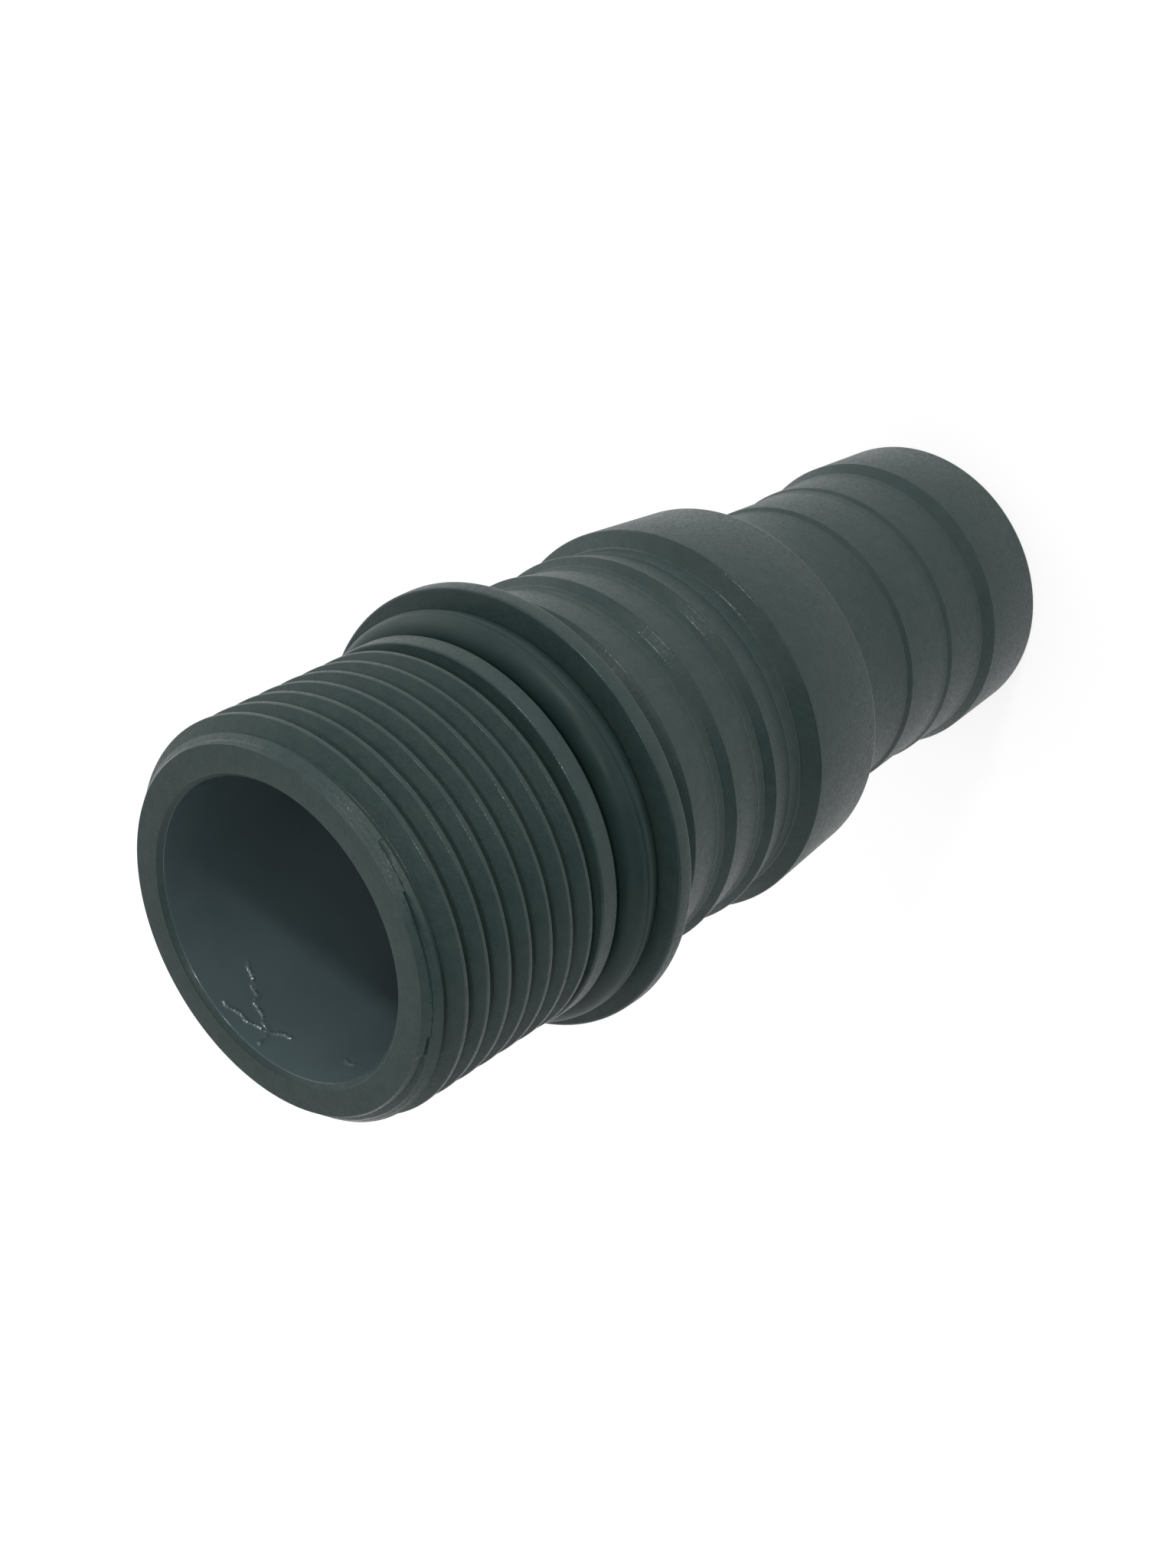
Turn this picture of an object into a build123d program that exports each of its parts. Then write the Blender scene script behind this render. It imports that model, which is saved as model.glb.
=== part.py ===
from build123d import *
import math
import os

# A stepped hose tail: a plastic pipe fitting moulded in one piece, with the
# rubber ring that seals its flange against the port it is screwed into.
# Millimetres. The axis is Z. The small end of the tail stands on Z = 0 and the
# threaded mouth is at the top. Radii below are measured from the axis, and the
# outline is worked from the mouth downwards, in the order the hand meets it.

# Male pipe thread, parallel, right-hand, eleven turns to the inch
THREAD_DIAMETER = 33.0
THREAD_PITCH = 25.4 / 11
THREAD_FLANK_ANGLE = 27.5
THREAD_CREST_WIDTH = 0.38
THREAD_ROOT_WIDTH = 0.47
THREAD_LENGTH = 17.3
THREAD_EXIT_ANGLE = 171.2
LEAD_CHAMFER_LENGTH = 1.94
LEAD_CHAMFER_HEIGHT = 1.55

# Plain stretch between the thread and the flange, with the seal's groove
RELIEF_WIDTH = 0.9
RELIEF_DEPTH = 0.15
RIB_WIDTH = 1.75
RIB_STEP = 0.1
SEAL_SECTION = 3.53
SEAL_FLATS = 12
SEAL_SIDE_ROOM = 1.07
GROOVE_DEPTH = 2.35
FLANGE_THICKNESS = 1.55
FLANGE_OVERHANG = 2.3

# Barbs for the larger hose, and the collar that ends them
BARB_ROOT_DIAMETER = 32.0
BARB_HEIGHT = 0.7
BARB_COUNT = 3
BARB_PITCH = 5.42
BARB_FACE = 0.75
BARB_GROOVE = 0.9
FIRST_BARB_DISTANCE = 3.4
COLLAR_HEIGHT = 1.4
COLLAR_TAPER = 0.85
COLLAR_FACE = 1.25
COLLAR_GROOVE = 1.35
COLLAR_LENGTH = 9.4

# Slim tail for the smaller hose: two low barbs and the nose
TAIL_ROOT_DIAMETER = 26.8
TAIL_SEAT_LENGTH = 9.7
TAIL_BARB_HEIGHTS = (0.28, 0.2, 0.63)
TAIL_BARB_PITCH = 6.7
TAIL_BARB_FACE = 0.5
TAIL_GROOVE = 0.9
NOSE_FACE = 1.3
NOSE_LENGTH = 8.0
NOSE_TAPER = 0.43

# Water way: two bores joined by a short cone behind the collar's face
GROOVE_WALL = 1.8
TAIL_WALL = 1.7
BORE_CONE_LENGTH = 4.0

# Edge breaks: small chamfers where the mould leaves a rounding
MOUTH_LIP_BREAK = 0.4
FLANGE_FRONT_BREAK = 0.3
RIB_BREAK = 0.2
STEP_FILLET = 0.4
NOSE_BREAK = 0.4

thread_radius = THREAD_DIAMETER / 2
thread_depth = (THREAD_PITCH - THREAD_CREST_WIDTH - THREAD_ROOT_WIDTH) / 2 / math.tan(
    math.radians(THREAD_FLANK_ANGLE)
)
thread_root_radius = thread_radius - thread_depth
relief_radius = thread_root_radius - RELIEF_DEPTH
rib_radius = thread_radius + RIB_STEP
groove_radius = thread_radius - GROOVE_DEPTH
groove_width = SEAL_SECTION + SEAL_SIDE_ROOM
barb_root_radius = BARB_ROOT_DIAMETER / 2
barb_crest_radius = barb_root_radius + BARB_HEIGHT
flange_radius = max(thread_radius, barb_crest_radius) + FLANGE_OVERHANG
collar_radius = barb_root_radius + COLLAR_HEIGHT
tail_root_radius = TAIL_ROOT_DIAMETER / 2
nose_radius = tail_root_radius + TAIL_BARB_HEIGHTS[-1]

mouth_bore_radius = groove_radius - GROOVE_WALL
tail_bore_radius = tail_root_radius - TAIL_WALL

barbs_length = FIRST_BARB_DISTANCE + BARB_PITCH * BARB_COUNT
tail_barbs_length = TAIL_BARB_PITCH * (len(TAIL_BARB_HEIGHTS) - 1)
tail_length = TAIL_SEAT_LENGTH + TAIL_BARB_FACE + tail_barbs_length + NOSE_LENGTH

step_z = tail_length
collar_z = step_z + COLLAR_LENGTH
flange_back_z = collar_z + barbs_length
flange_front_z = flange_back_z + FLANGE_THICKNESS
rib_back_z = flange_front_z + groove_width
rib_front_z = rib_back_z + RIB_WIDTH
thread_end_z = rib_front_z + RELIEF_WIDTH
mouth_z = thread_end_z + THREAD_LENGTH


def mouth_outline():
    """Corners from the mouth's lip over the thread to the back of the flange."""
    return [
        (mouth_bore_radius, mouth_z),
        (thread_radius - LEAD_CHAMFER_HEIGHT, mouth_z),
        (thread_radius, mouth_z - LEAD_CHAMFER_LENGTH),
        (thread_radius, thread_end_z),
        (relief_radius, thread_end_z),
        (relief_radius, rib_front_z),
        (rib_radius, rib_front_z),
        (rib_radius, rib_back_z),
        (groove_radius, rib_back_z),
        (groove_radius, flange_front_z),
        (flange_radius, flange_front_z),
        (flange_radius, flange_back_z),
        (barb_root_radius, flange_back_z),
    ]


def barb_crests():
    """Each barb's crest and the length of groove and face in front of it, then the collar's."""
    crests = []
    for barb in range(BARB_COUNT):
        crest_z = flange_back_z - FIRST_BARB_DISTANCE - BARB_PITCH * barb
        crests.append((barb_crest_radius, crest_z, BARB_GROOVE, BARB_FACE))
    crests.append((collar_radius, collar_z, COLLAR_GROOVE, COLLAR_FACE))
    return crests


def barb_outline():
    """Corners of the large barbs: groove, steep face towards the mouth, crest, long slope down."""
    corners = []
    for crest_radius, crest_z, groove, face in barb_crests():
        foot_z = crest_z + face
        if corners:
            corners.append((barb_root_radius, foot_z + groove))
        corners.append((barb_root_radius, foot_z))
        corners.append((crest_radius, crest_z))
    return corners


def tail_outline():
    """Corners from the collar's lower edge to the outside of the tail's end."""
    corners = [
        (collar_radius - COLLAR_TAPER, step_z),
        (tail_root_radius, step_z),
    ]
    last = len(TAIL_BARB_HEIGHTS) - 1
    for barb, height in enumerate(TAIL_BARB_HEIGHTS):
        crest_z = NOSE_LENGTH + TAIL_BARB_PITCH * (last - barb)
        face = NOSE_FACE if barb == last else TAIL_BARB_FACE
        foot_z = crest_z + face
        if barb > 0:
            corners.append((tail_root_radius, foot_z + TAIL_GROOVE))
        corners.append((tail_root_radius, foot_z))
        corners.append((tail_root_radius + height, crest_z))
    corners.append((nose_radius - NOSE_TAPER, 0))
    return corners


def bore_outline():
    """Corners of the water way, from the tail's end up to the mouth's bore."""
    return [
        (tail_bore_radius, 0),
        (tail_bore_radius, collar_z - BORE_CONE_LENGTH),
        (mouth_bore_radius, collar_z),
    ]


def broken_corners():
    """Corner of the outline, then the size of its chamfer."""
    return [
        ((mouth_bore_radius, mouth_z), MOUTH_LIP_BREAK),
        ((rib_radius, rib_front_z), RIB_BREAK),
        ((flange_radius, flange_front_z), FLANGE_FRONT_BREAK),
        ((tail_root_radius, step_z), STEP_FILLET),
        ((nose_radius - NOSE_TAPER, 0), NOSE_BREAK),
    ]


def turned_body():
    """The whole fitting as a plain turning, with a smooth land where the thread goes."""
    corners = mouth_outline() + barb_outline() + tail_outline() + bore_outline()
    points = [(radius, 0, z) for radius, z in corners]
    section = make_face(Polyline(*points, close=True))
    for (radius, z), size in broken_corners():
        corner = section.vertices().sort_by_distance((radius, 0, z))[0]
        section = chamfer(corner, size)
    return revolve(section, Axis.Z, 360)


def thread_groove(low_z):
    """One long helical V, from below low_z to a turn above the mouth's face."""
    overshoot = 0.2
    spread = math.tan(math.radians(THREAD_FLANK_ANGLE)) * (thread_depth + overshoot)
    root = THREAD_ROOT_WIDTH / 2
    outer_radius = thread_radius + overshoot
    section = make_face(
        Polyline(
            (thread_root_radius, 0, -root),
            (outer_radius, 0, -root - spread),
            (outer_radius, 0, root + spread),
            (thread_root_radius, 0, root),
            close=True,
        )
    )
    turns = math.ceil((mouth_z - low_z) / THREAD_PITCH) + 1
    helix = Helix(pitch=THREAD_PITCH, height=THREAD_PITCH * (turns + 1), radius=thread_radius)
    groove = sweep(section, path=helix, is_frenet=True)
    return Pos(0, 0, mouth_z - THREAD_PITCH * turns) * Rot(0, 0, THREAD_EXIT_ANGLE) * groove


def threaded_body(turned):
    """Cut the thread on a blank longer than the land, so the groove runs out into air."""
    parting_z = (thread_end_z + rib_front_z) / 2
    spare = 3 * THREAD_PITCH
    blank = Pos(0, 0, parting_z - spare) * Cylinder(
        thread_radius,
        mouth_z - parting_z + 2 * spare,
        align=(Align.CENTER, Align.CENTER, Align.MIN),
    )
    blank -= thread_groove(parting_z)
    reach = 2 * flange_radius
    upper = Pos(0, 0, parting_z) * Box(
        reach, reach, mouth_z, align=(Align.CENTER, Align.CENTER, Align.MIN)
    )
    return (turned - upper) + ((turned & upper) & blank)


def seal_ring():
    """The rubber ring. One flat of its section lies on the groove's floor, one on the flange."""
    centre = (groove_radius + SEAL_SECTION / 2, flange_front_z + SEAL_SECTION / 2)
    section = Plane.XZ * Pos(*centre) * RegularPolygon(
        SEAL_SECTION / 2, SEAL_FLATS, major_radius=False, rotation=180 / SEAL_FLATS
    )
    return revolve(section, Axis.Z, 360)


os.makedirs("parts", exist_ok=True)
body = threaded_body(turned_body())
print("overall length", round(mouth_z, 2), "thread depth", round(thread_depth, 3))
export_step(body, "parts/hose_tail_body.step")
export_step(seal_ring(), "parts/sealing_ring.step")
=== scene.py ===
# %% [markdown]
# # A hose tail in moulded plastic
# This lesson dresses a stepped hose tail: a plastic pipe fitting with a pipe thread at its
# mouth, a flange with a rubber ring, three barbs and a collar for one hose, and a slim tail
# for a smaller one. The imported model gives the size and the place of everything. Here each
# surface gets the form and the finish that it has when it comes out of the mould.

# %% Load the frame
import math
import bpy
import bmesh
from mathutils import Matrix, Vector


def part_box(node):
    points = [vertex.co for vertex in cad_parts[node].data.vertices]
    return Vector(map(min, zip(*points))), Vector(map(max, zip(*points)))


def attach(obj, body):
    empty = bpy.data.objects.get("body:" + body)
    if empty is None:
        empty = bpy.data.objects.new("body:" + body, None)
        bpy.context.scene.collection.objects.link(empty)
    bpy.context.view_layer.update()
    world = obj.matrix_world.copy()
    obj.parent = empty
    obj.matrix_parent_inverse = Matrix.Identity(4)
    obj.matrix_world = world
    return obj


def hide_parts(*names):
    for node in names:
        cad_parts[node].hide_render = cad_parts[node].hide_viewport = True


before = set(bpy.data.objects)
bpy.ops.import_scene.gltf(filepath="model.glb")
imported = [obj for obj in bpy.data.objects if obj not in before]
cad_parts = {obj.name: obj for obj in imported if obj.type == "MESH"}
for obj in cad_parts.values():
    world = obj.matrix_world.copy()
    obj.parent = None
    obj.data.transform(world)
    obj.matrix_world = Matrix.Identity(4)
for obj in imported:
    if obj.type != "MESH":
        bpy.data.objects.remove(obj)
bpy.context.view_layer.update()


MM = 0.001
body_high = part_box("hose_tail_body")[1]
ring_low, ring_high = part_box("sealing_ring")
print("nodes", sorted(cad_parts))

# %% [markdown]
# ## The camera
# The camera comes first, because it decides how large every detail is in the picture. It
# stands on the mouth's side, a little above, looks down along the tail, and is rolled so that
# the standing fitting lies across the frame. Its place is given by how far out and how high it
# stands from the mouth's middle, and its aim by three turns, as on a tripod's head.

# %% Place the camera
CAMERA_OUT = 147.43
CAMERA_ABOVE_MOUTH = 102.50
CAMERA_DOWN = math.radians(43.0405)
CAMERA_LEFT = math.radians(0.6796)
CAMERA_ROLL = math.radians(-119.3569)
FOCAL_LENGTH = 55.287
SENSOR = 36.0

camera_data = bpy.data.cameras.new("camera")
camera_data.lens = FOCAL_LENGTH
camera_data.sensor_fit = "VERTICAL"
camera_data.sensor_height = SENSOR
camera_data.sensor_width = SENSOR
camera_data.clip_start = 0.01
camera = bpy.data.objects.new("camera", camera_data)
bpy.context.scene.collection.objects.link(camera)
turn = Matrix.Rotation(CAMERA_LEFT, 4, "Z")
tilt = Matrix.Rotation(math.radians(90) - CAMERA_DOWN, 4, "X")
roll = Matrix.Rotation(CAMERA_ROLL, 4, "Z")
stand = Matrix.Translation((0, -CAMERA_OUT * MM, body_high[2] + CAMERA_ABOVE_MOUTH * MM))
camera.matrix_world = stand @ turn @ tilt @ roll
bpy.context.scene.camera = camera
bpy.context.scene.view_settings.view_transform = "Standard"
print("camera at", [round(value / MM, 1) for value in camera.matrix_world.translation], "mm")

# %% [markdown]
# ## The sizes
# The fitting is described as a turner would: by heights along the axis and by radii, all in
# millimetres. The length over all, the flange and the seat of the ring are read from the
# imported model, and every other step is set off from them or from the tail's end, so the
# dressed pieces stay on it.

# %% Heights and radii
MOUTH_Z = body_high[2] / MM
FLANGE_RADIUS = body_high[0] / MM
FLANGE_FRONT_Z = ring_low[2] / MM
RING_RADIUS = ring_high[0] / MM
RING_SECTION = (ring_high[2] - ring_low[2]) / MM

THREAD_RADIUS = 16.5
THREAD_PITCH = 25.4 / 11
THREAD_CREST = 0.38
THREAD_ROOT = 0.47
THREAD_FLANK = math.radians(27.5)
THREAD_LENGTH = 17.3
LEAD_LENGTH = 1.94
LEAD_HEIGHT = 1.55
MOUTH_BORE = 12.35
TAIL_BORE = 11.7

thread_depth = (THREAD_PITCH - THREAD_CREST - THREAD_ROOT) / 2 / math.tan(THREAD_FLANK)
thread_root = THREAD_RADIUS - thread_depth
thread_end_z = MOUTH_Z - THREAD_LENGTH
lead_foot = THREAD_RADIUS - LEAD_HEIGHT
lead_slope = LEAD_HEIGHT / LEAD_LENGTH
print("thread depth", round(thread_depth, 3), "mm, length over all", round(MOUTH_Z, 2), "mm")

# %% [markdown]
# ## Rounding the corners of an outline
# No mould has a perfectly sharp corner, and a plastic edge catches the light on its small
# rounding. So an outline is written as corners, each with a height, a radius and the size of
# its rounding, and one function swaps every corner for an arc. Bevelling the finished mesh
# would do too, but here each corner needs its own size.

# %% Rounded outlines


def rounded(corners, segments):
    """Points of an open outline, from (height, radius, rounding) corners."""
    points = []
    for index, (z, radius, rounding) in enumerate(corners):
        here = Vector((z, radius))
        if rounding == 0:
            points.append(here)
            continue
        before = (Vector(corners[index - 1][:2]) - here).normalized()
        after = (Vector(corners[index + 1][:2]) - here).normalized()
        half = before.angle(after) / 2
        reach = rounding / math.tan(half)
        centre = here + (before + after).normalized() * rounding / math.sin(half)
        start = here + before * reach - centre
        sweep = start.angle_signed(here + after * reach - centre)
        for step in range(segments + 1):
            points.append(centre + Matrix.Rotation(-sweep * step / segments, 2) @ start)
    return points


# %% [markdown]
# ## The thread, laid out flat
# A screw thread is hard to model round and easy to model flat. Peeled off the fitting and laid
# out, it is corrugated sheet: its ridges are straight, and they climb by one pitch over one
# turn. So the sheet's edge is drawn once as a chain of edges and extruded sideways, column by
# column, each a little higher than the last. In this flat space x is the angle, y the height
# and z the radius. The pitch is eleven ridges to the inch, as on a one-inch pipe. Two points
# that are less than a ten-thousandth apart count as lying at the same place.

# %% Draw the edge of the sheet
COLUMNS = 216
ARC_SEGMENTS = 3
SAME = 1e-4
SHEET_START = math.radians(-270)
CREST_BELOW_MOUTH = 2.83
CREST_BEARING = math.radians(-90)
CREST_ROUNDING = 0.1
ROOT_ROUNDING = 0.12

half_crest = THREAD_CREST / 2
flank_width = thread_depth * math.tan(THREAD_FLANK)
ridge = [
    (-half_crest, THREAD_RADIUS, CREST_ROUNDING),
    (half_crest, THREAD_RADIUS, CREST_ROUNDING),
    (half_crest + flank_width, thread_root, ROOT_ROUNDING),
    (THREAD_PITCH - half_crest - flank_width, thread_root, ROOT_ROUNDING),
]
turns_to_start = (SHEET_START - CREST_BEARING) / math.tau
first_crest = MOUTH_Z - CREST_BELOW_MOUTH + THREAD_PITCH * turns_to_start
ridges_down = math.ceil((first_crest - thread_end_z) / THREAD_PITCH) + 2
ridges_up = math.ceil((MOUTH_Z - first_crest) / THREAD_PITCH) + 1
sheet_edge = [
    (first_crest + number * THREAD_PITCH + offset, radius, rounding)
    for number in range(-ridges_down, ridges_up + 1)
    for offset, radius, rounding in ridge
]
sheet_edge[0] = sheet_edge[0][:2] + (0,)
sheet_edge[-1] = sheet_edge[-1][:2] + (0,)
print("ridges drawn", ridges_down + ridges_up + 1, "first crest at", round(first_crest, 2), "mm")

# %% Extrude the sheet round one turn
skin = bmesh.new()
edge_points = rounded(sheet_edge, ARC_SEGMENTS)
chain = [skin.verts.new((SHEET_START, z, radius)) for z, radius in edge_points]
front = [skin.edges.new(pair) for pair in zip(chain, chain[1:])]
one_column = Vector((math.tau / COLUMNS, THREAD_PITCH / COLUMNS, 0))
for column in range(COLUMNS):
    made = bmesh.ops.extrude_edge_only(skin, edges=front)["geom"]
    front = [item for item in made if isinstance(item, bmesh.types.BMEdge)]
    moved = [item for item in made if isinstance(item, bmesh.types.BMVert)]
    bmesh.ops.translate(skin, verts=moved, vec=one_column)
print("sheet", len(skin.faces), "faces")

# %% [markdown]
# ## Cutting the thread to length
# On the flat sheet the mouth, the thread's end and the bevel that leads the thread into its
# port are all straight cuts, so a bisecting plane makes each of them. The bevel is a slope in
# flat space: where the sheet stands above the slope, it is pressed down onto it, and the
# thread then runs out over the bevel as it does on the real fitting.

# %% Trim the ends and lay the bevel
CUT_WITHIN = 1e-6


def cut(mesh, point, normal, clear_outer=False, faces=None):
    """Split faces along a plane, and clear what lies on its outer side if asked."""
    chosen = list(mesh.faces) if faces is None else faces
    edges = {edge for face in chosen for edge in face.edges}
    verts = {vert for face in chosen for vert in face.verts}
    bmesh.ops.bisect_plane(
        mesh, geom=list(verts) + list(edges) + list(chosen), dist=CUT_WITHIN,
        plane_co=point, plane_no=normal, clear_outer=clear_outer)


cut(skin, (0, MOUTH_Z, 0), (0, 1, 0), clear_outer=True)
cut(skin, (0, thread_end_z, 0), (0, -1, 0), clear_outer=True)
cut(skin, (0, MOUTH_Z, lead_foot), (0, lead_slope, 1))
for vert in skin.verts:
    vert.co.z = min(vert.co.z, lead_foot + lead_slope * (MOUTH_Z - vert.co.y))
print("trimmed sheet", len(skin.faces), "faces")

# %% [markdown]
# ## The seam of the mould's end ring
# The mould is two halves and a ring that closes them at the mouth. In one half the ring sits a
# little deep, and leaves a narrow groove round the bevel. It starts at the parting line, and
# past a short blunt end it opens onto the mouth's face. Lines are cut along the bevel where
# the groove has its edges and its floor, and the floor's points are pressed down. Each line
# has two depths below the mouth, one at the parting line and one at the blunt end.

# %% Press the groove into the bevel
PARTING = math.radians(-82)
PARTING_WIDTH = 0.15 / THREAD_RADIUS
GROOVE_BLUNT_END = math.radians(-147.5)
GROOVE_BACK = math.radians(-235)
BLUNT_WIDTH = math.radians(0.3)
GROOVE_FRONT = (0.60, 0.43)
GROOVE_FLOOR = (0.73, 0.62)
GROOVE_REAR = (0.88, 0.86)
GROOVE_RADIUS = 15.14
BEVEL_REACH = 1.2
ON_LINE = 0.003

groove_start = PARTING - PARTING_WIDTH
groove_run = GROOVE_BLUNT_END - PARTING


def bevel_faces(low_angle, high_angle):
    """The sheet's faces near the mouth between two angles."""
    return [
        face for face in skin.faces
        if low_angle < face.calc_center_median().x < high_angle
        and face.calc_center_median().y > MOUTH_Z - BEVEL_REACH
    ]


def groove_depth(line, angle):
    """How far below the mouth one line of the groove lies at an angle."""
    share = min(1, max(0, (angle - PARTING) / groove_run))
    return line[0] + share * (line[1] - line[0])


for angle in (groove_start, PARTING, PARTING + PARTING_WIDTH, GROOVE_BLUNT_END + BLUNT_WIDTH,
              GROOVE_BLUNT_END - BLUNT_WIDTH, GROOVE_BACK):
    cut(skin, (angle, 0, 0), (1, 0, 0))
for line in (GROOVE_FRONT, GROOVE_FLOOR, GROOVE_REAR):
    cut(skin, (PARTING, MOUTH_Z - line[0], 0), ((line[1] - line[0]) / groove_run, 1, 0),
        faces=bevel_faces(GROOVE_BLUNT_END, groove_start))
    if line is not GROOVE_FRONT:
        cut(skin, (0, MOUTH_Z - line[1], 0), (0, 1, 0),
            faces=bevel_faces(GROOVE_BACK, GROOVE_BLUNT_END))
pressed = 0
for vert in skin.verts:
    angle, z, radius = vert.co
    below = MOUTH_Z - z
    floor_line = groove_depth(GROOVE_FLOOR, angle)
    in_front = GROOVE_BLUNT_END <= angle <= groove_start + SAME
    behind = GROOVE_BACK < angle < GROOVE_BLUNT_END - BLUNT_WIDTH / 2
    on_floor = abs(below - floor_line) < ON_LINE and in_front
    opened = below < floor_line + ON_LINE and behind
    if (on_floor or opened) and radius > GROOVE_RADIUS:
        vert.co.z = GROOVE_RADIUS
        pressed += 1
print("points pressed down", pressed)

# %% [markdown]
# ## The rest of the outside, and the bore
# Everything else is turned: its outline is the same at every angle. The open edge at the
# thread's end is carried on through the outline, one corner at a time, and extruding it at each
# corner makes a ring of faces. That joins the thread to the plain part without a gap, which a
# spun shape placed against the thread would leave. The wavy edge is first brought to one
# radius, which leaves a low thin lip across the end of the thread's groove. The last number
# of each corner is its rounding. Just inside the mouth the bore gets many close rows, which
# its beads will need.

# %% Outline from the thread to the tail's end
RUN_OUT_RADIUS = 15.4
RELIEF_RADIUS, RELIEF_WIDTH = 14.95, 0.9
RIB_RADIUS, RIB_WIDTH = 16.6, 1.75
SEAT_RADIUS, FLANGE_THICKNESS = 14.15, 1.55
BARB_COUNT, BARB_ROOT, BARB_CREST = 3, 16.0, 16.7
BARB_PITCH, BARB_FACE, BARB_HOLLOW, FIRST_BARB = 5.42, 0.7, 0.9, 3.45
COLLAR_RADIUS, COLLAR_END, COLLAR_FACE, COLLAR_HOLLOW = 17.4, 16.55, 1.05, 1.55
COLLAR_Z, STEP_Z = 41.0, 31.6
TAIL_ROOT, TAIL_FACE, TAIL_HOLLOW_BELOW = 13.4, 0.5, 5.2
TAIL_CRESTS = ((21.4, 13.68), (14.7, 13.6))
NOSE_RADIUS, NOSE_Z, NOSE_FACE, NOSE_HOLLOW_ABOVE, NOSE_TAPER = 14.03, 8.0, 1.3, 2.2, 0.43
BORE_CONE_Z, BORE_JOIN_Z = (37.0, 41.0), (60.0, 60.5)
LIP_BREAK, FACE_EDGE = 0.4, 0.15
BEADS_FROM, BEAD_ROW, BEAD_ROWS = 0.7, 0.1, 52

relief_z = thread_end_z - RELIEF_WIDTH
rib_back_z = relief_z - RIB_WIDTH
flange_back_z = FLANGE_FRONT_Z - FLANGE_THICKNESS
outside = [
    (thread_end_z, RUN_OUT_RADIUS, 0),
    (thread_end_z, RELIEF_RADIUS, 0.2),
    (relief_z, RELIEF_RADIUS, 0.2),
    (relief_z, RIB_RADIUS, 0.25),
    (rib_back_z, RIB_RADIUS, 0.12),
    (rib_back_z, SEAT_RADIUS, 0.2),
    (FLANGE_FRONT_Z, SEAT_RADIUS, 0.2),
    (FLANGE_FRONT_Z, FLANGE_RADIUS, 0.25),
    (flange_back_z, FLANGE_RADIUS, 0.2),
    (flange_back_z, BARB_ROOT, 0.3),
]
for barb in range(BARB_COUNT):
    crest_z = flange_back_z - FIRST_BARB - BARB_PITCH * barb
    if barb:
        outside.append((crest_z + BARB_FACE + BARB_HOLLOW, BARB_ROOT, 1.0))
    outside += [(crest_z + BARB_FACE, BARB_ROOT, 0.3), (crest_z, BARB_CREST, 0.2)]
outside += [
    (COLLAR_Z + COLLAR_FACE + COLLAR_HOLLOW, BARB_ROOT, 1.0),
    (COLLAR_Z + COLLAR_FACE, BARB_ROOT, 0.3),
    (COLLAR_Z, COLLAR_RADIUS, 0.25),
    (STEP_Z, COLLAR_END, 0.25),
    (STEP_Z, TAIL_ROOT, 0.6),
]
tail_hollows = (TAIL_CRESTS[0][0] - TAIL_HOLLOW_BELOW, NOSE_Z + NOSE_HOLLOW_ABOVE)
for (crest_z, crest_radius), hollow_z in zip(TAIL_CRESTS, tail_hollows):
    outside += [
        (crest_z + TAIL_FACE, TAIL_ROOT, 0.3),
        (crest_z, crest_radius, 0.15),
        (hollow_z, TAIL_ROOT, 1.0),
    ]
outside += [
    (NOSE_Z + NOSE_FACE, TAIL_ROOT, 0.4),
    (NOSE_Z, NOSE_RADIUS, 0.2),
    (0, NOSE_RADIUS - NOSE_TAPER, 0.5),
    (0, TAIL_BORE, 0.2),
    (BORE_CONE_Z[0], TAIL_BORE, 1.0),
    (BORE_CONE_Z[1], MOUTH_BORE, 1.0),
    (BORE_JOIN_Z[0], MOUTH_BORE, 0),
]
mouth = [
    (MOUTH_Z, lead_foot - FACE_EDGE, 0),
    (MOUTH_Z, MOUTH_BORE + LIP_BREAK, 0.1),
    (MOUTH_Z - LIP_BREAK, MOUTH_BORE, 0.1),
]
mouth += [(MOUTH_Z - BEADS_FROM - BEAD_ROW * row, MOUTH_BORE, 0) for row in range(BEAD_ROWS + 1)]
mouth.append((BORE_JOIN_Z[1], MOUTH_BORE, 0))
print("corners", len(outside), "outside and", len(mouth), "at the mouth")

# %% Carry the open edges along the outline
OUTLINE_ARC_SEGMENTS = 4


def open_row(z):
    """The open edges that lie at one height."""
    return [
        edge for edge in skin.edges
        if edge.is_boundary and all(abs(vert.co.y - z) < SAME for vert in edge.verts)
    ]


def carry_on(row, corners, segments):
    """Extrude a row of open edges through the rounded corners of an outline."""
    for z, radius in rounded(corners, segments):
        made = bmesh.ops.extrude_edge_only(skin, edges=row)["geom"]
        row = [item for item in made if isinstance(item, bmesh.types.BMEdge)]
        for vert in (item for item in made if isinstance(item, bmesh.types.BMVert)):
            vert.co.y, vert.co.z = z, radius


carry_on(open_row(thread_end_z), outside, OUTLINE_ARC_SEGMENTS)
carry_on(open_row(MOUTH_Z), mouth, ARC_SEGMENTS)
print("skin so far", len(skin.faces), "faces")

# %% [markdown]
# ## Beads in the bore
# The core pin that forms the bore is worn. A few chains of shallow pits in it leave beads on
# the wall just inside the mouth, and each bead catches the lamps as a bright speck. A chain
# runs from one place to another, each given by its bearing in degrees and its depth below the
# mouth, and has a number of beads. They sway a little to either side and differ in size. The
# rows are already close together there. The columns are made closer too, and then every
# point under a bead is moved in towards the axis.

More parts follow.
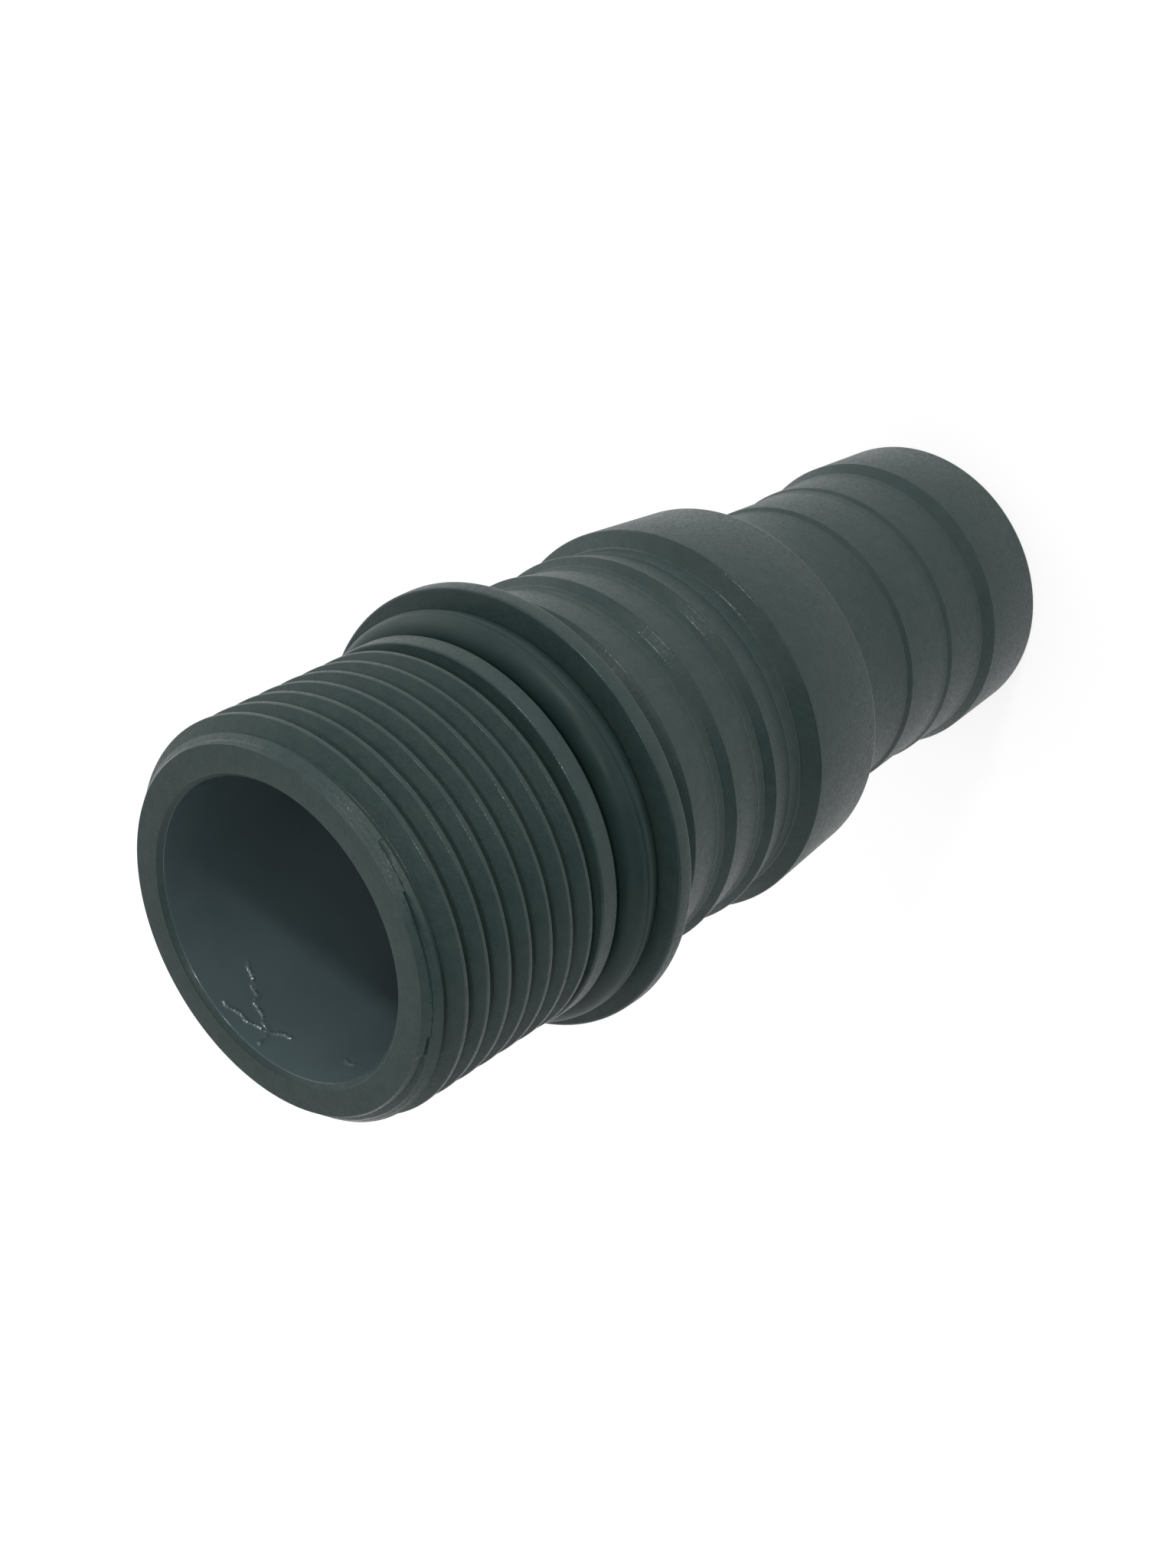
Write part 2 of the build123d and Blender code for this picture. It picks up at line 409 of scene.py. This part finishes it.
# %% Raise the beads
BEAD_CHAINS = (
    ((95, 5.2), (108, 3.9), 14),
    ((108, 3.7), (121, 2.6), 12),
    ((103, 1.3), (119, 2.2), 14),
    ((124, 1.1), (122, 2.3), 7),
    ((121, 2.4), (129, 3.6), 10),
    ((155, 3.9), (161, 3.4), 5),
)
BEAD_RADIUS, BEAD_HEIGHT = 0.2, 0.16
BEAD_SWAY, SWAY_TURN = 0.12, 0.9
SIZE_SWING, SIZE_TURN = 0.3, 1.7
CLOSE_BEARINGS = (90, 166)
CLOSE_CUTS = 3
MARGIN = 0.01

beads = []
for (start, start_depth), (end, end_depth), count in BEAD_CHAINS:
    for number in range(count):
        along = number / (count - 1)
        sway = BEAD_SWAY * math.sin(SWAY_TURN * number)
        beads.append((
            math.radians(start + (end - start) * along),
            MOUTH_Z - start_depth - (end_depth - start_depth) * along + sway,
            BEAD_RADIUS * (1 + SIZE_SWING * math.sin(SIZE_TURN * number)),
        ))
bead_high = MOUTH_Z - BEADS_FROM
bead_low = bead_high - BEAD_ROW * BEAD_ROWS


def among_beads(vert):
    """Whether a point lies on the part of the bore's wall that has beads."""
    return (bead_low - MARGIN < vert.co.y < bead_high + MARGIN
            and abs(vert.co.z - MOUTH_BORE) < SAME
            and CLOSE_BEARINGS[0] <= round(math.degrees(vert.co.x)) % 360 <= CLOSE_BEARINGS[1])


close_rows = [
    edge for edge in skin.edges
    if all(among_beads(vert) for vert in edge.verts)
    and abs(edge.verts[0].co.y - edge.verts[1].co.y) < SAME
]
bmesh.ops.subdivide_edges(skin, edges=close_rows, cuts=CLOSE_CUTS)
for vert in skin.verts:
    angle, z, radius = vert.co
    if abs(radius - MOUTH_BORE) < SAME and z > bead_low - MARGIN:
        for bearing, bead_z, size in beads:
            gap = (angle - bearing + math.pi) % math.tau - math.pi
            off = math.hypot(gap * MOUTH_BORE, z - bead_z) / size
            if off < 1:
                vert.co.z = min(vert.co.z, MOUTH_BORE - BEAD_HEIGHT * (1 - off ** 2))
print("beads", len(beads), "skin", len(skin.faces), "faces")

# %% [markdown]
# ## The parting line
# Where the two mould halves meet, the plastic has crept about a hundredth of a millimetre
# into the joint, and one half stands about as much lower than the other. That is thinner
# than a hair, but on a part this smooth the eye still finds it. Cuts along the whole skin at
# each joint give the points to lift and to lower.

# %% Lift the flash and lower one half
FLASH_HEIGHT = 0.012
HALF_STEP = 0.01
OUTSIDE_FROM = 13.2

other_parting = PARTING - math.pi
for angle in (other_parting - PARTING_WIDTH, other_parting, other_parting + PARTING_WIDTH):
    cut(skin, (angle, 0, 0), (1, 0, 0))
for vert in skin.verts:
    angle, z, radius = vert.co
    if radius > OUTSIDE_FROM and z < MOUTH_Z - MARGIN:
        if min(abs(angle - PARTING), abs(angle - other_parting)) < SAME:
            vert.co.z += FLASH_HEIGHT
        elif other_parting < angle < PARTING:
            vert.co.z -= HALF_STEP
bearings = [round(math.degrees(angle)) % 360 for angle in (PARTING, other_parting)]
print("halves meet at", bearings, "degrees")

# %% [markdown]
# ## Wrapping the sheet round the axis
# Now the flat sheet is rolled up: the angle and the radius of every point become its place
# round the axis. The two edges that meet are merged, and one bridge joins the two ends of the
# bore inside. Faces inside the bore get a second material, because the core pin that formed
# them was polished, and the cavity outside was not, and because the bore's colour is painted
# light, lighter than the outside's. The narrow strips of the roundings get a third, because
# the edges of a cavity are burnished.

# %% Roll up and close the body
BORE_FACES_WITHIN = 12.7
EDGE_STRIP = 0.1
MERGE_WITHIN = 0.002
OUTSIDE_SLOT, BORE_SLOT, EDGE_SLOT = 0, 1, 2

for face in skin.faces:
    across = [
        edge.calc_length() for edge in face.edges
        if abs(edge.verts[0].co.x - edge.verts[1].co.x) < SAME
    ]
    on_edge = across and min(across) < EDGE_STRIP
    face.material_index = EDGE_SLOT if on_edge else OUTSIDE_SLOT
for vert in skin.verts:
    angle, z, radius = vert.co
    vert.co = Vector((radius * math.cos(angle), radius * math.sin(angle), z)) * MM
bmesh.ops.remove_doubles(skin, verts=skin.verts, dist=MERGE_WITHIN * MM)
bmesh.ops.bridge_loops(skin, edges=[edge for edge in skin.edges if edge.is_boundary])
bmesh.ops.recalc_face_normals(skin, faces=skin.faces)
for face in skin.faces:
    reach = max(vert.co.xy.length for vert in face.verts)
    if reach < BORE_FACES_WITHIN * MM:
        face.material_index = BORE_SLOT
triangles = sum(len(face.verts) - 2 for face in skin.faces)
open_edges = sum(1 for edge in skin.edges if not edge.is_manifold)
print("body", len(skin.faces), "faces,", triangles, "triangles")
print("open edges", open_edges, "volume", round(skin.calc_volume() / MM ** 3), "cubic mm")

# %% [markdown]
# ## From a mesh to a finished piece
# A bmesh is only a drawing board. One helper puts it into an object of the scene, which the
# floor and the cloths need as well. A second one makes that object a piece of the fitting: it
# is shaded smooth except at sharp corners, stands for its node of the imported model and
# rides with it.

# %% Name the body
SHARP_FROM = math.radians(40)


def as_object(name, mesh):
    """Put a bmesh into a new object of the scene, and free it."""
    data = bpy.data.meshes.new(name)
    mesh.to_mesh(data)
    mesh.free()
    made = bpy.data.objects.new(name, data)
    bpy.context.scene.collection.objects.link(made)
    return made


def finish_piece(name, mesh, node):
    """Turn a bmesh into a smooth piece that stands for one node and rides with it."""
    piece = as_object(name, mesh)
    piece.data.shade_smooth()
    piece.data.set_sharp_from_angle(angle=SHARP_FROM)
    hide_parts(node)
    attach(piece, "root")
    return piece


moulded_body = finish_piece("moulded_body", skin, "hose_tail_body")
print(moulded_body.name, "has", len(moulded_body.data.polygons), "faces")

# %% [markdown]
# ## The ring
# The ring is an O-ring of nitrile rubber, round in section. It is moulded in two halves as
# well, and where the flash was trimmed off, a fine line is left round its outside that catches
# the light. A circle is drawn at the seat, one of its points, ten degrees from the widest
# towards the mouth, is pressed in for that line, and the circle is spun.

# %% Spin the ring
RING_SEGMENTS = 72
RING_STEPS = 216
TRIM_DEPTH = 0.1
TRIM_ANGLE = math.radians(10)

ring = bmesh.new()
ring_half = RING_SECTION / 2 * MM
ring_middle = Vector((RING_RADIUS - RING_SECTION / 2, 0, FLANGE_FRONT_Z + RING_SECTION / 2)) * MM
bmesh.ops.create_circle(
    ring, segments=RING_SEGMENTS, radius=ring_half,
    matrix=Matrix.Translation(ring_middle) @ Matrix.Rotation(math.radians(90), 4, "X"))
to_trim = Matrix.Rotation(-TRIM_ANGLE, 3, "Y") @ Vector((ring_half, 0, 0))
trimmed = min(ring.verts, key=lambda vert: (vert.co - ring_middle - to_trim).length)
trimmed.co.x -= TRIM_DEPTH * MM
bmesh.ops.spin(
    ring, geom=ring.verts[:] + ring.edges[:], cent=(0, 0, 0), axis=(0, 0, 1),
    angle=math.tau, steps=RING_STEPS, use_merge=True)
bmesh.ops.recalc_face_normals(ring, faces=ring.faces)
print("ring", len(ring.faces), "faces, section", round(RING_SECTION, 2), "mm")
rubber_ring = finish_piece("rubber_ring", ring, "sealing_ring")

# %% [markdown]
# ## One helper for colours and one for nodes
# A colour is written as the hex value that a picture program shows, and turned to the linear
# value that a shader wants. A node is added with its settings and its links in one line.

# %% Colour and node helpers


def linear(hex_colour):
    """A colour such as #3c4646, as the four linear numbers of a shader socket."""
    values = [int(hex_colour[start:start + 2], 16) / 255 for start in (1, 3, 5)]
    curve = [v / 12.92 if v <= 0.04045 else ((v + 0.055) / 1.055) ** 2.4 for v in values]
    return curve + [1.0]


def add_node(tree, kind, settings=None, **links):
    """Add a node. A link is i and the input's number, or its name with _ for a space."""
    node = tree.nodes.new(kind)
    for name, value in (settings or {}).items():
        setattr(node, name, value)
    for name, value in links.items():
        numbered = name[0] == "i" and name[1:].isdigit()
        socket = node.inputs[int(name[1:]) if numbered else name.replace("_", " ")]
        if isinstance(value, bpy.types.NodeSocket):
            tree.links.new(value, socket)
        else:
            socket.default_value = value
    return node


def new_material(name, roughness, specular, ior):
    """A material, its tree and its shader, with the constants on the shader itself."""
    material = bpy.data.materials.new(name)
    material.use_nodes = True
    shader = material.node_tree.nodes["Principled BSDF"]
    shader.inputs["Roughness"].default_value = roughness
    shader.inputs["Specular IOR Level"].default_value = specular
    shader.inputs["IOR"].default_value = ior
    return material, material.node_tree, shader


# %% [markdown]
# ## The plastic outside
# The body is glass-filled polypropylene, moulded in a spark-eroded steel cavity. To the eye
# that is a dark slate green that is never quite even, because the fibres come close to the
# surface here and there, and a fine matt grain that breaks every highlight into sparkle. The
# real grain is under a tenth of a millimetre. That is too fine to show, so it is drawn at a
# third of a millimetre. Along the edges the steel was burnished by hand, so there the same
# plastic is glossy, and every crest draws a broken bright line.

# %% Spark-eroded polypropylene
GRAIN = 0.3
CLOUD = 1.2
GRAIN_DEPTH = 0.024


def clouded_plastic(name, smoothest, dullest):
    """Slate green plastic with clouds, and a grain that its gloss and its surface share."""
    material, tree, shader = new_material(name, roughness=0.4, specular=0.25, ior=1.49)
    place = add_node(tree, "ShaderNodeTexCoord").outputs["Object"]
    cloud = add_node(tree, "ShaderNodeTexNoise", Vector=place, Scale=1 / (CLOUD * MM), Detail=3.0)
    grain = add_node(tree, "ShaderNodeTexNoise", Vector=place, Scale=1 / (GRAIN * MM), Detail=2.0)
    uneven = add_node(tree, "ShaderNodeMapRange", Value=cloud.outputs["Fac"],
                      From_Min=0.35, From_Max=0.65)
    tint = add_node(tree, "ShaderNodeMix", {"data_type": "RGBA"}, i0=uneven.outputs[0],
                    i6=linear("#2d3d3c"), i7=linear("#324240"))
    dull = add_node(tree, "ShaderNodeMapRange", Value=grain.outputs["Fac"],
                    From_Min=0.3, From_Max=0.7, To_Min=smoothest, To_Max=dullest)
    rough = add_node(tree, "ShaderNodeBump", Height=grain.outputs["Fac"], Strength=1.0,
                     Distance=GRAIN_DEPTH * MM)
    tree.links.new(tint.outputs[2], shader.inputs["Base Color"])
    tree.links.new(dull.outputs[0], shader.inputs["Roughness"])
    tree.links.new(rough.outputs[0], shader.inputs["Normal"])
    return material


plastic = clouded_plastic("spark_eroded_polypropylene", smoothest=0.36, dullest=0.54)
edge_plastic = clouded_plastic("burnished_polypropylene", smoothest=0.12, dullest=0.3)
print("grain drawn at", GRAIN, "mm, clouds at", CLOUD, "mm")

# %% [markdown]
# ## The plastic in the bore
# The bore is the same plastic off a polished core pin, so it is glossy. A gloss sends the
# light one way, in a bore mostly further down. The colour is written lighter than the
# outside's to look right, and that lighter colour is painted light, which lifts the shade
# inside the bore. The plastic shrank a little off the pin, and left slow waves that bend
# every reflection.

# %% Polished bore, with painted light
WAVE = 5.0
WAVE_DEPTH = 0.12

bore, tree, shader = new_material(
    "polished_polypropylene_painted_light", roughness=0.14, specular=0.5, ior=1.49)
place = add_node(tree, "ShaderNodeTexCoord").outputs["Object"]
waves = add_node(tree, "ShaderNodeTexNoise", Vector=place, Scale=1 / (WAVE * MM), Detail=2.0)
# The lighter tint is painted light: the outside's plastic, lightened to lift the shade in the
# bore.
tint = add_node(tree, "ShaderNodeMix", {"data_type": "RGBA"}, i0=waves.outputs["Fac"],
                i6=linear("#4a585d"), i7=linear("#546364"))
bend = add_node(tree, "ShaderNodeBump", Height=waves.outputs["Fac"], Strength=1.0,
                Distance=WAVE_DEPTH * MM)
tree.links.new(tint.outputs[2], shader.inputs["Base Color"])
tree.links.new(bend.outputs[0], shader.inputs["Normal"])
for material in (plastic, bore, edge_plastic):
    moulded_body.data.materials.append(material)
print("waves drawn at", WAVE, "mm")

# %% [markdown]
# ## The rubber
# Nitrile rubber comes from a polished mould, almost black with a satin gloss. A film of
# assembly grease makes the gloss patchy.

# %% Nitrile rubber
SMEAR = 3.0

rubber, tree, shader = new_material("nitrile_rubber", roughness=0.45, specular=0.16, ior=1.52)
place = add_node(tree, "ShaderNodeTexCoord").outputs["Object"]
smear = add_node(tree, "ShaderNodeTexNoise", Vector=place, Scale=1 / (SMEAR * MM), Detail=4.0)
tint = add_node(tree, "ShaderNodeMix", {"data_type": "RGBA"}, i0=smear.outputs["Fac"],
                i6=linear("#223231"), i7=linear("#2a3b39"))
gloss = add_node(tree, "ShaderNodeMapRange", Value=smear.outputs["Fac"],
                 From_Min=0.3, From_Max=0.7, To_Min=0.36, To_Max=0.5)
tree.links.new(tint.outputs[2], shader.inputs["Base Color"])
tree.links.new(gloss.outputs[0], shader.inputs["Roughness"])
rubber_ring.data.materials.append(rubber)
print("rubber smears drawn at", SMEAR, "mm")

# %% [markdown]
# ## The floor
# The fitting stands on white paper. The camera, and anything shiny, sees the paper as white
# with only the fitting's shadow on it. To the light that falls on the fitting it is plain
# white paper, so it throws back only what reaches it.

# %% White paper
PAPER_WIDTH = 3.0
PAPER_GLOW = 0.80


def empty_material(name):
    """A material whose node tree is still empty, and that tree."""
    material = bpy.data.materials.new(name)
    material.use_nodes = True
    material.node_tree.nodes.clear()
    return material, material.node_tree


def flat_square(name, width, material, place):
    """A flat square of one material."""
    square = bmesh.new()
    bmesh.ops.create_grid(square, x_segments=1, y_segments=1, size=width / 2, matrix=place)
    sheet = as_object(name, square)
    sheet.data.materials.append(material)
    return sheet


paper, tree = empty_material("white_paper")
rays = add_node(tree, "ShaderNodeLightPath")
seen = add_node(tree, "ShaderNodeMath", {"operation": "ADD"}, i0=rays.outputs["Is Camera Ray"],
                i1=rays.outputs["Is Glossy Ray"])
seen = add_node(tree, "ShaderNodeMath", {"operation": "ADD", "use_clamp": True},
                i0=seen.outputs[0], i1=rays.outputs["Is Transmission Ray"])
glow = add_node(tree, "ShaderNodeEmission", Color=(1, 1, 1, 1), Strength=PAPER_GLOW)
shadow = add_node(tree, "ShaderNodeBsdfDiffuse", Color=linear("#a0a0a0"))
white = add_node(tree, "ShaderNodeAddShader", i0=glow.outputs[0], i1=shadow.outputs[0])
plain = add_node(tree, "ShaderNodeBsdfDiffuse", Color=linear("#f0f0f0"))
both = add_node(tree, "ShaderNodeMixShader", i0=seen.outputs[0], i1=plain.outputs[0],
                i2=white.outputs[0])
add_node(tree, "ShaderNodeOutputMaterial", Surface=both.outputs[0])
floor = flat_square("floor", PAPER_WIDTH, paper, Matrix.Identity(4))
print("paper", PAPER_WIDTH, "m wide")

# %% [markdown]
# ## The light
# The studio is a white room, so the world is plain white from every side. Two cloths of dark
# felt keep part of it off the fitting: one overhead, which keeps the thread's upper flanks
# dark and its crests light, and one to the left of the camera, which gives the steep faces
# something dark to reflect. Three lamps add to the room: a strip at the right that draws the
# bright line on every rounded edge, a box further round that lifts the far side, and a lamp
# with a honeycomb grid that points into the bore and spares the rest.

# %% Room and cloths
ROOM_LIGHT = 0.95
LOOK_AT = Vector((0, 0, MOUTH_Z / 2)) * MM

world = bpy.data.worlds.new("studio")
bpy.context.scene.world = world
world.use_nodes = True
world.node_tree.nodes["Background"].inputs["Color"].default_value = (1, 1, 1, 1)
world.node_tree.nodes["Background"].inputs["Strength"].default_value = ROOM_LIGHT

felt, tree = empty_material("black_felt")
cloth = add_node(tree, "ShaderNodeBsdfDiffuse", Color=linear("#505050"))
add_node(tree, "ShaderNodeOutputMaterial", Surface=cloth.outputs[0])


def facing(bearing, height, distance):
    """The place and turn of something that faces the fitting from a bearing and a height."""
    bearing, height = math.radians(bearing), math.radians(height)
    away = Vector((math.cos(height) * math.cos(bearing), math.cos(height) * math.sin(bearing),
                   math.sin(height)))
    turned = away.to_track_quat("Z", "Y").to_matrix().to_4x4()
    return Matrix.Translation(LOOK_AT + away * distance) @ turned


def black_cloth(name, bearing, height, distance, size):
    """A square of felt that the fitting sees and the camera does not."""
    sheet = flat_square(name, size, felt, facing(bearing, height, distance))
    sheet.visible_camera = False
    print(name, "at", round(distance, 2), "m")


black_cloth("cloth_overhead", bearing=0, height=90, distance=0.42, size=0.56)
black_cloth("cloth_left", bearing=-135, height=22, distance=0.45, size=0.42)

# %% [markdown]
# ## How strong a lamp is
# A lamp is given by how bright its face looks, so its size can change without a change in the
# highlights. The power that this takes grows with its area, and shrinks as its spread does,
# because a honeycomb grid in front of a lamp holds back all the light that goes sideways.

# %% Lamps


def lamp(name, bearing, height, distance, size, radiance, spread=180, lifted=0.0):
    """A flat lamp that faces the fitting, by the radiance that its face shows straight on."""
    half = math.radians(spread) / 2
    data = bpy.data.lights.new(name, "AREA")
    data.shape = "RECTANGLE"
    data.size, data.size_y = size
    data.spread = 2 * half
    data.energy = radiance * math.pi * size[0] * size[1] * (1 - half / math.tan(half))
    lamp_object = bpy.data.objects.new(name, data)
    bpy.context.scene.collection.objects.link(lamp_object)
    lamp_object.visible_camera = False
    raised = Matrix.Translation((0, 0, lifted))
    lamp_object.matrix_world = raised @ facing(bearing, height, distance)
    print(name, round(data.energy, 4), "W")


lamp("strip_right", bearing=-53, height=28, distance=0.8, size=(0.12, 0.06), radiance=60)
lamp("box_far_side", bearing=20, height=12, distance=0.8, size=(0.5, 0.4), radiance=1.3)
lamp("grid_light", bearing=-90, height=50, distance=0.36, size=(0.03, 0.03), radiance=180,
     spread=11, lifted=0.036)
